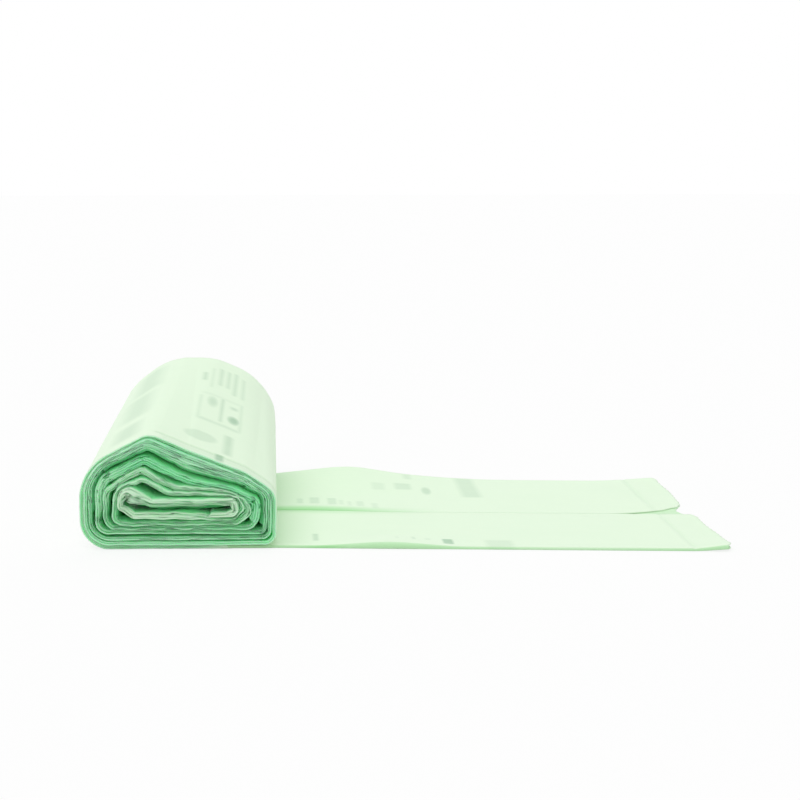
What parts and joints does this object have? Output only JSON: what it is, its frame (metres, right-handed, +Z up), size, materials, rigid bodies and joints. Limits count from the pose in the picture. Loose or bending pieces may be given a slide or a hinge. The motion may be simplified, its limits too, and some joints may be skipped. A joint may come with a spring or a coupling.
{
  "type": "roll of bin bags",
  "caption": "Roll of pale green bin bags wound without a core, its end pressed flat and the first bag lying unrolled, folded in four with a torn edge.",
  "frame": {"origin": "on the table, under the middle of the roll, at the middle of its flat underside", "axes": "+X out of the roll along the unrolled bag, +Y along the roll from its pressed end to its round end, +Z up"},
  "size_m": [0.199, 0.1225, 0.046],
  "materials": {
    "film": "satin, slightly translucent film with faint grey-green print"
  },
  "bodies": {
    "root": {"bag_roll": "film"}
  },
  "joints": []
}
